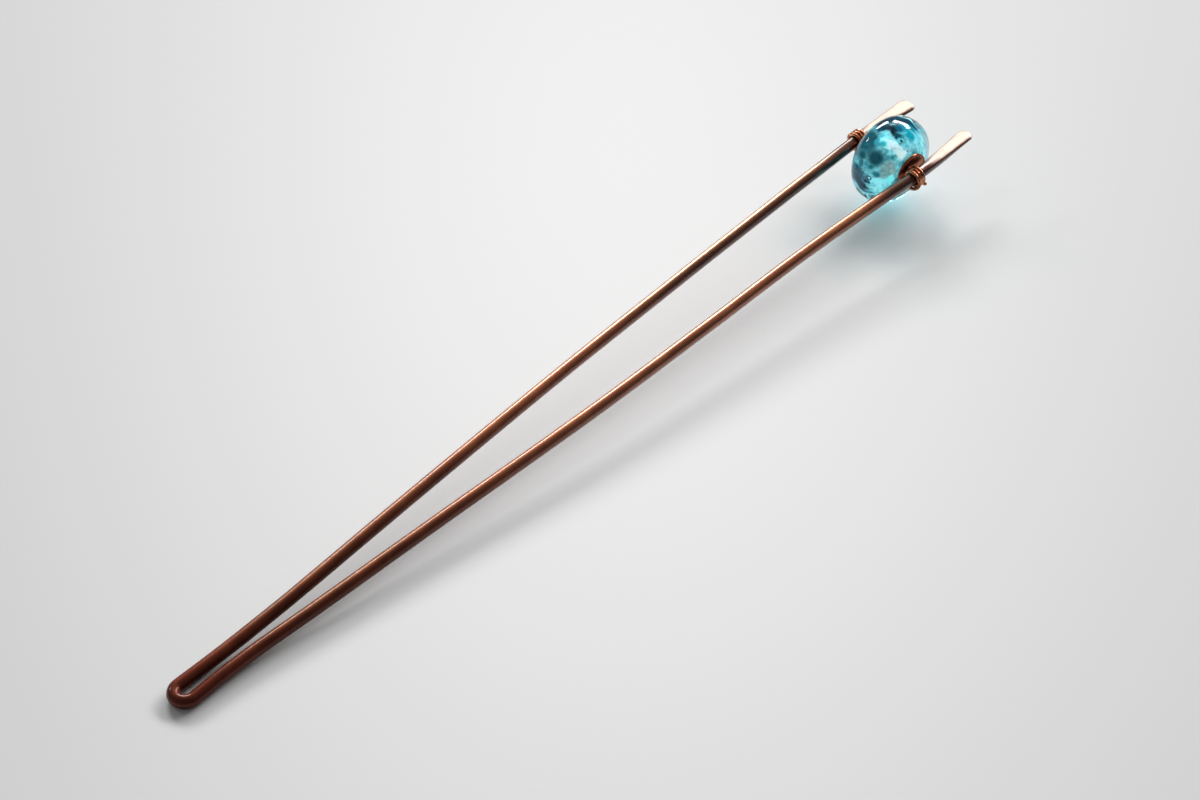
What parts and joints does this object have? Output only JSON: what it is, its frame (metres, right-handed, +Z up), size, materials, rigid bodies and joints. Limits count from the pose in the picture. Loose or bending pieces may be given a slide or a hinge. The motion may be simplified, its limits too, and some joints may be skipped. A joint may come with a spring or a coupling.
{
  "type": "hair fork",
  "caption": "Two-pronged hair fork of folded copper wire with hammered ends, and a capped glass bead bound between the prongs near the head.",
  "frame": {"origin": "middle of the fork's box, on the surface that it lies on", "axes": "+X along the fork from the fold to the paddles, +Y from the front prong to the back prong, +Z up from the surface"},
  "size_m": [0.1683, 0.0172, 0.0153],
  "materials": {
    "aged_copper": "copper wire darkened by oxidising and polished back, brightest on the hammered ends",
    "bead_glass": "clear and teal lampwork glass, fire polished",
    "cap_copper": "antiqued copper, satin",
    "binding_copper": "bright copper wire"
  },
  "bodies": {
    "root": {"prong_wire": "aged_copper", "glass_bead": "bead_glass", "bead_cap_front": "cap_copper", "bead_cap_back": "cap_copper", "binding_wire": "binding_copper"}
  },
  "joints": []
}
